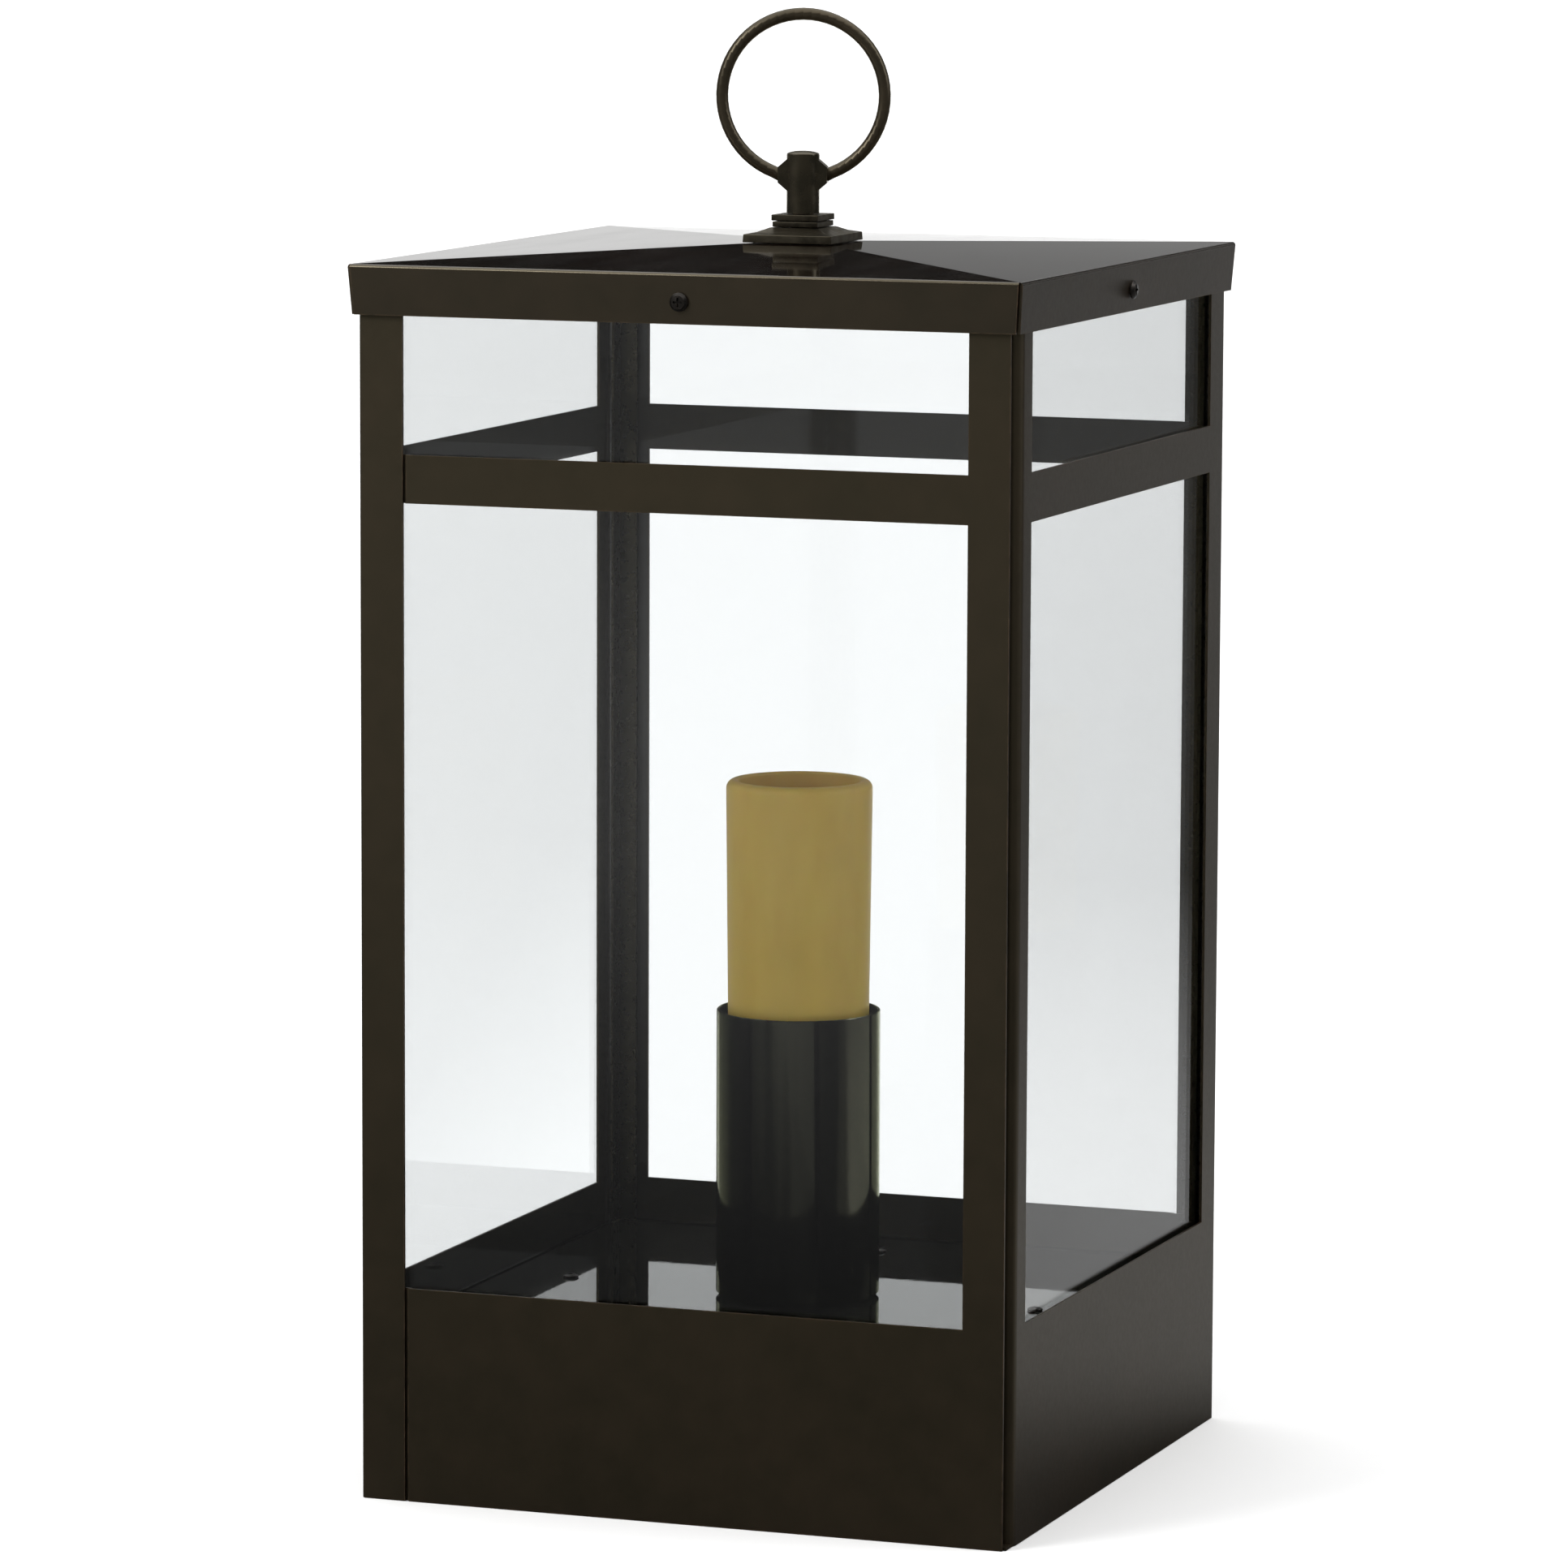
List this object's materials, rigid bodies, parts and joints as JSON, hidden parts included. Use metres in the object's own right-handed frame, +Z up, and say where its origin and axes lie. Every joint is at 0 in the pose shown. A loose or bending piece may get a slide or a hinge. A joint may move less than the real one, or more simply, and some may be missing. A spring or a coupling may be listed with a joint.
{
  "type": "candle lantern",
  "caption": "Tall square metal lantern with glass on every side, a low hipped roof with a carrying ring, and a battery candle standing in a metal cup.",
  "frame": {"origin": "middle of the square that the lantern stands on, at the level of its bottom edge", "axes": "+Z up, +X to the right and -Y towards the front face"},
  "size_m": [0.2636, 0.2636, 0.5528],
  "materials": {
    "bronze_paint": "oil-rubbed bronze powder coat, semi-gloss",
    "roof_paint": "dark bronze powder coat, glossier than the body",
    "floor_paint": "smooth dark gloss enamel",
    "cast_bronze": "cast metal with a rubbed dark bronze finish",
    "cup_metal": "polished dark bronze plate",
    "clear_glass": "clear float glass",
    "amber_resin": "satin amber resin, cloudy",
    "blackened_screw": "blackened steel",
    "zinc_plate": "zinc plated",
    "ivory_plastic": "moulded ivory plastic",
    "frosted_lens": "frosted warm plastic",
    "cell_wrap": "printed wrap, left plain",
    "nickel_contact": "nickel plated",
    "board_green": "solder mask",
    "red_wire": "insulation",
    "black_wire": "insulation"
  },
  "bodies": {
    "body": {"front_panel": "bronze_paint", "right_panel": "bronze_paint", "back_panel": "bronze_paint", "left_panel": "bronze_paint", "corner_angle_front_right": "bronze_paint", "corner_angle_back_right": "bronze_paint", "corner_angle_back_left": "bronze_paint", "corner_angle_front_left": "bronze_paint", "front_glass": "clear_glass", "right_glass": "clear_glass", "back_glass": "clear_glass", "left_glass": "clear_glass", "top_frame": "bronze_paint", "floor_plate": "floor_paint", "floor_bracket_front": "bronze_paint", "floor_bracket_right": "bronze_paint", "floor_bracket_back": "bronze_paint", "floor_bracket_left": "bronze_paint", "floor_screw_front": "blackened_screw", "floor_screw_right": "blackened_screw", "floor_screw_back": "blackened_screw", "floor_screw_left": "blackened_screw", "candle_cup": "cup_metal", "cup_screw": "blackened_screw", "cup_washer": "zinc_plate", "cup_nut": "zinc_plate"},
    "roof": {"roof_cap": "roof_paint", "roof_screw_front": "blackened_screw", "roof_screw_right": "blackened_screw", "roof_screw_back": "blackened_screw", "roof_screw_left": "blackened_screw", "roof_nut_front": "zinc_plate", "roof_nut_right": "zinc_plate", "roof_nut_back": "zinc_plate", "roof_nut_left": "zinc_plate", "finial_base": "cast_bronze", "finial_plate_lower": "cast_bronze", "finial_plate_upper": "cast_bronze", "finial_stem": "cast_bronze", "stem_washer": "zinc_plate", "stem_nut": "zinc_plate"},
    "ring": {"carrying_ring": "cast_bronze"},
    "candle": {"candle_sleeve": "amber_resin", "battery_case": "ivory_plastic", "led_deck": "ivory_plastic", "flame_lens": "frosted_lens", "led_lamp": "frosted_lens", "led_board": "board_green", "battery_1": "cell_wrap", "battery_2": "cell_wrap", "contact_spring_1": "nickel_contact", "contact_spring_2": "nickel_contact", "contact_plate": "nickel_contact", "lead_wire_red": "red_wire", "lead_wire_black": "black_wire"},
    "door": {"battery_door": "ivory_plastic"},
    "switch": {"power_switch": "blackened_screw"}
  },
  "joints": [
    {"name": "roof_lift", "type": "slide", "parent": "body", "child": "roof", "axis": [0, 0, 1], "range_m": [0, 0.12]},
    {"name": "ring_swing", "type": "hinge", "parent": "roof", "child": "ring", "pos_m": [0, 0, 0.4904], "axis": [0.9659, 0.2588, 0], "range_deg": [-100, 100]},
    {"name": "candle_lift", "type": "slide", "parent": "body", "child": "candle", "axis": [0, 0, 1], "range_m": [0, 0.112]},
    {"name": "battery_door_twist", "type": "hinge", "parent": "candle", "child": "door", "pos_m": [0, 0, 0.0697], "axis": [0, 0, 1], "range_deg": [0, 25]},
    {"name": "power_switch_slide", "type": "slide", "parent": "candle", "child": "switch", "axis": [1, 0, 0], "range_m": [0, 0.003]}
  ]
}
